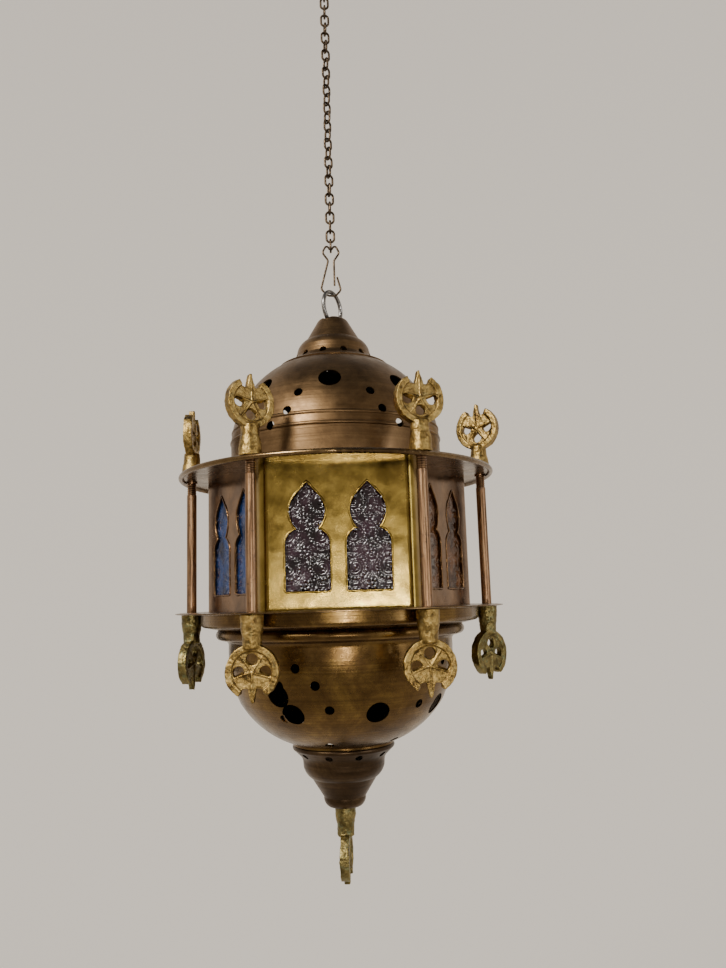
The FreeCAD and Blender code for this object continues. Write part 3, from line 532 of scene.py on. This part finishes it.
def relief(u, v):
    """Height of the pattern, 0 to 1, at places given in millimetres."""
    height = np.zeros_like(u)
    pitch = 14.6
    for shift in (0.0, 0.5):
        x = ((u / pitch + shift) % 1 - 0.5) * pitch
        y = ((v / pitch + shift) % 1 - 0.5) * pitch
        radius, angle = np.hypot(x, y), np.arctan2(y, x)
        if shift:
            petals = 4.6 + 0.9 * np.cos(4 * angle)
            height = np.maximum(height, ridge(radius - petals, 0.30, 0.62))
            height = np.maximum(height, ridge(radius - petals + 1.0, 0.26, 0.5))
            height = np.maximum(height, beads(radius, angle, 1.9, 8, 0.62, 0.9))
            height = np.maximum(height, beads(radius, angle, 0.0, 1, 0.95, 1.0))
        else:
            height = np.maximum(height, ridge(radius - 6.2, 0.30, 0.65))
            height = np.maximum(height, beads(radius, angle, 5.0, 20, 0.66, 0.95))
            height = np.maximum(height, ridge(radius - 3.8, 0.26, 0.5))
            turn = (angle / (2 * np.pi) + radius / 2.3) % 1 - 0.5
            swirl = ridge(turn * 2.3, 0.34, 0.62) * (radius < 3.5)
            height = np.maximum(height, swirl)
            height = np.maximum(height, beads(radius, angle, 0.0, 1, 0.8, 0.9))
    return height


def glass_pane(node, heading, material, seed):
    """A pane whose outer face carries the raised pattern."""
    corners = np.array([list(v.co) for v in nodes[node].data.vertices])
    turn = math.radians(heading)
    out = np.array([math.cos(turn), math.sin(turn), 0])
    along = np.array([-math.sin(turn), math.cos(turn), 0])
    depth, across, rise = corners @ out, corners @ along, corners[:, 2]
    columns = int(np.ptp(across) / MM / 0.36)
    rows = int(np.ptp(rise) / MM / 0.36)
    u, v = np.meshgrid(
        np.linspace(across.min(), across.max(), columns), np.linspace(rise.min(), rise.max(), rows)
    )
    lift = relief(u / MM + 3.1 * seed, v / MM + 5.3 * seed)
    front = depth.max() - 0.75 * MM + lift * 0.62 * MM
    grid = out * front[..., None] + along * u[..., None]
    grid[..., 2] = v
    rim = [(0, c) for c in range(columns)] + [(r, columns - 1) for r in range(1, rows)]
    rim += [(rows - 1, c) for c in range(columns - 2, -1, -1)] + [(r, 0) for r in range(rows - 2, 0, -1)]
    verts = grid.reshape(-1, 3).tolist()
    faces = [
        (r * columns + c, r * columns + c + 1, (r + 1) * columns + c + 1, (r + 1) * columns + c)
        for r in range(rows - 1)
        for c in range(columns - 1)
    ]
    first = len(verts)
    for r, c in rim:
        spot = out * depth.min() + along * u[r, c]
        verts.append((spot[0], spot[1], v[r, c]))
    for index, (r, c) in enumerate(rim):
        ahead = (index + 1) % len(rim)
        r2, c2 = rim[ahead]
        faces.append((r * columns + c, first + index, first + ahead, r2 * columns + c2))
    faces.append([first + index for index in range(len(rim))][::-1])
    mesh = bpy.data.meshes.new(node + "_pattern")
    mesh.from_pydata(verts, [], faces)
    body = nodes[node]["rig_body"]
    piece = add_piece(node + "_pattern", mesh, body, material)
    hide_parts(node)


# ---------------------------------------------------------------- cast finials


def solid_bar(mesh, start, end, wide_start, wide_end, thick):
    """A bar of diamond section from start to end, in a plane whose normal is thick."""
    along = (end - start).normalized()
    across = along.cross(thick).normalized()
    rings = []
    for point, wide, rise in ((start, wide_start, 1.0), (end, wide_end, 0.75)):
        rings.append(
            [
                mesh.verts.new(point + across * wide),
                mesh.verts.new(point + thick * rise),
                mesh.verts.new(point - across * wide),
                mesh.verts.new(point - thick * rise),
            ]
        )
    for side in range(4):
        turn = (side + 1) % 4
        mesh.faces.new((rings[0][side], rings[0][turn], rings[1][turn], rings[1][side]))
    mesh.faces.new(rings[0][::-1])
    mesh.faces.new(rings[1])


def rim_bead(mesh, centre, along, up, thick, radius, wide):
    """A rounded rim round the crescent, thinner towards its horns."""
    rings = []
    steps = 44
    for step in range(steps + 1):
        share = step / steps
        angle = math.radians(62 - 304 * share)
        taper = 0.45 + 0.55 * math.sin(math.pi * share) ** 0.6
        out = along * math.cos(angle) + up * math.sin(angle)
        ring = []
        for side in range(8):
            a = 2 * math.pi * side / 8
            ring.append(
                mesh.verts.new(
                    centre + out * (radius + math.cos(a) * wide * taper) + thick * math.sin(a) * taper
                )
            )
        rings.append(ring)
    for near, far in zip(rings, rings[1:]):
        for side in range(8):
            turn = (side + 1) % 8
            mesh.faces.new((near[side], near[turn], far[turn], far[side]))
    mesh.faces.new(rings[0][::-1])
    mesh.faces.new(rings[-1])


def finial_frame(node, points):
    """Foot, along-the-plaque, through-the-plaque and foot-to-tip directions of one finial."""
    up = Vector((0, 0, 1 if node.startswith("upper") else -1))
    low, high = points[:, 2].min(), points[:, 2].max()
    foot = low if up.z > 0 else high
    if node == "bottom_finial":
        foot -= BOTTOM_STUD
    middle = (points[:, :2].min(0) + points[:, :2].max(0)) / 2
    plaque = points[np.abs(points[:, 2] - foot - up.z * PLAQUE_HEIGHT) < DISC][:, :2]
    _, _, axes = np.linalg.svd(plaque - plaque.mean(0), full_matrices=False)
    along = Vector((axes[0][0], axes[0][1], 0))
    frame_of = Matrix((along, up.cross(along), up)).transposed().to_4x4()
    return Matrix.Translation((middle[0], middle[1], foot)) @ frame_of


def cast_shape(node):
    """A finial with a raised star and rim, softened like a sand casting; millimetres, foot at 0."""
    mesh = welded(node)
    points = np.array([list(v.co) for v in mesh.verts])
    mesh.transform(Matrix.Scale(1000, 4) @ finial_frame(node, points).inverted())
    along, through, up = (Vector(axis) for axis in ((1, 0, 0), (0, 1, 0), (0, 0, 1)))
    disc = DISC / MM
    centre = up * PLAQUE_HEIGHT / MM
    for number in range(5):
        angle = math.radians(90 + 72 * number)
        way = along * math.cos(angle) + up * math.sin(angle)
        reach = disc * (1.0 if number == 0 else 0.86)
        solid_bar(mesh, centre - way * disc * 0.05, centre + way * reach, 1.9, 0.7, through * 2.35)
    rim_bead(mesh, centre, along, up, through * 2.15, disc * 0.885, disc * 0.125)
    data = bpy.data.meshes.new("casting")
    mesh.to_mesh(data)
    mesh.free()
    rough = bpy.data.objects.new("casting", data)
    bpy.context.scene.collection.objects.link(rough)
    remesh = rough.modifiers.new("cast", "REMESH")
    remesh.mode = "VOXEL"
    remesh.voxel_size = 0.30
    smooth = rough.modifiers.new("soften", "SMOOTH")
    smooth.factor = 0.5
    smooth.iterations = 3
    cast = bpy.data.meshes.new_from_object(rough.evaluated_get(bpy.context.evaluated_depsgraph_get()))
    bpy.data.objects.remove(rough)
    bpy.data.meshes.remove(data)
    return cast


def cast_finial(node, shape, material, seed):
    """Place a copy of the shape on the CAD finial and roughen it a little differently each time."""
    points = np.array([list(v.co) for v in nodes[node].data.vertices])
    world = nodes[node].matrix_world
    points = np.array([list(world @ Vector(p)) for p in points])
    cast = shape.copy()
    cast.name = node + "_casting"
    cast.transform(finial_frame(node, points) @ Matrix.Scale(MM, 4))
    drift = Vector((seed * 7.1, seed * 3.7, 0))
    spots = np.empty(3 * len(cast.vertices))
    cast.vertices.foreach_get("co", spots)
    ways = np.array([list(vert.normal) for vert in cast.vertices])
    spots = spots.reshape(-1, 3)
    swell = [
        noise.noise(spot * 260 + drift) * 0.26 + noise.noise(spot * 900 + drift) * 0.14
        for spot in map(Vector, spots)
    ]
    spots += ways * np.array(swell)[:, None] * MM
    cast.vertices.foreach_set("co", spots.ravel())
    cast.update()
    piece = add_piece(node + "_casting", cast, "lantern", material)
    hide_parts(node)


# ---------------------------------------------------------------- build


aim_camera()
light_room()
add_room()

gold = polished_brass()
antique = spun_brass(
    "antique_brass", ((0.09, 0.052, 0.025), (0.18, 0.11, 0.052), (0.28, 0.175, 0.088)), 0.32, 0.48
)
bowl_brass = spun_brass(
    "bowl_brass", ((0.055, 0.03, 0.013), (0.17, 0.10, 0.034), (0.36, 0.23, 0.07)), 0.20, 0.36
)
dark = spun_brass(
    "dark_brass", ((0.03, 0.02, 0.012), (0.075, 0.046, 0.025), (0.17, 0.11, 0.055)), 0.28, 0.46
)
plates = spun_brass(
    "plate_brass", ((0.07, 0.04, 0.02), (0.18, 0.115, 0.05), (0.33, 0.215, 0.10)), 0.20, 0.36
)
golden_cast = cast_brass(
    "cast_brass", ((0.15, 0.09, 0.026), (0.36, 0.24, 0.072), (0.60, 0.42, 0.145)), 0.22
)
green_cast = cast_brass(
    "green_cast_brass", ((0.10, 0.08, 0.028), (0.23, 0.185, 0.065), (0.38, 0.30, 0.115)), 0.75
)
copper = copper_rod()
chain_metal = wire_metal(
    "chain_metal", ((0.022, 0.015, 0.010), (0.07, 0.048, 0.030), (0.17, 0.125, 0.08)), 0.40
)
ring_metal = wire_metal("ring_steel", ((0.09, 0.085, 0.08), (0.22, 0.21, 0.20), (0.40, 0.39, 0.37)), 0.30)
hook_metal = wire_metal("hook_steel", ((0.34, 0.32, 0.29), (0.55, 0.53, 0.50), (0.70, 0.68, 0.65)), 0.26)
glasses = {
    "purple_glass": pressed_glass("purple_glass", (0.006, 0.003, 0.005), (0.034, 0.010, 0.021)),
    "blue_glass": pressed_glass("blue_glass", (0.003, 0.009, 0.034), (0.013, 0.042, 0.15)),
    "amber_glass": pressed_glass("amber_glass", (0.04, 0.014, 0.006), (0.20, 0.08, 0.028)),
}

for name in nodes:
    if name.startswith("chain_") or name == "wire_clip":
        paint(name, chain_metal)
    elif name.startswith("column_"):
        paint(name, copper)
for name, material in (
    ("ceiling_hook", hook_metal),
    ("finial_nut", hook_metal),
    ("hanging_ring", ring_metal),
    ("neck_cap", antique),
    ("dome", antique),
    ("top_plate", plates),
    ("bottom_plate", plates),
    ("lower_bowl", bowl_brass),
    ("lower_cone", dark),
    ("drum", gold),
    ("door", gold),
    ("door_hinge_pin", copper),
    ("door_knob", golden_cast),
    ("glass_tabs", antique),
    ("door_glass_tabs", antique),
    ("candle_bridge", antique),
    ("candle_cup", antique),
    ("candle_rivets", antique),
):
    paint(name, material)

for number, (name, (heading, slot)) in enumerate(PANES.items()):
    glass_pane(name, heading, glasses[slot], number)

side_shape = cast_shape("upper_finial_front_left")
bottom_shape = cast_shape("bottom_finial")
for number, name in enumerate(n for n in sorted(nodes) if "_finial" in n):
    # The bottom finial and the finials that are neither upper nor front get the darker, greener casting.
    neither_upper_nor_front = not name.startswith("upper") and "front" not in name
    shape = bottom_shape if name == "bottom_finial" else side_shape
    cast_finial(name, shape, green_cast if neither_upper_nor_front else golden_cast, number)

for node, body in (("drum", "lantern"), ("door", "door")):
    windows = punched_edges(node, on_axis, SHORTEST_WINDOW, LONGEST_WINDOW)
    lips = lip_mesh(node + "_lips", windows, on_axis, LIP_WIDTH, LIP_HEIGHT, 0.35)
    add_piece(node + "_lips", lips, body, gold)
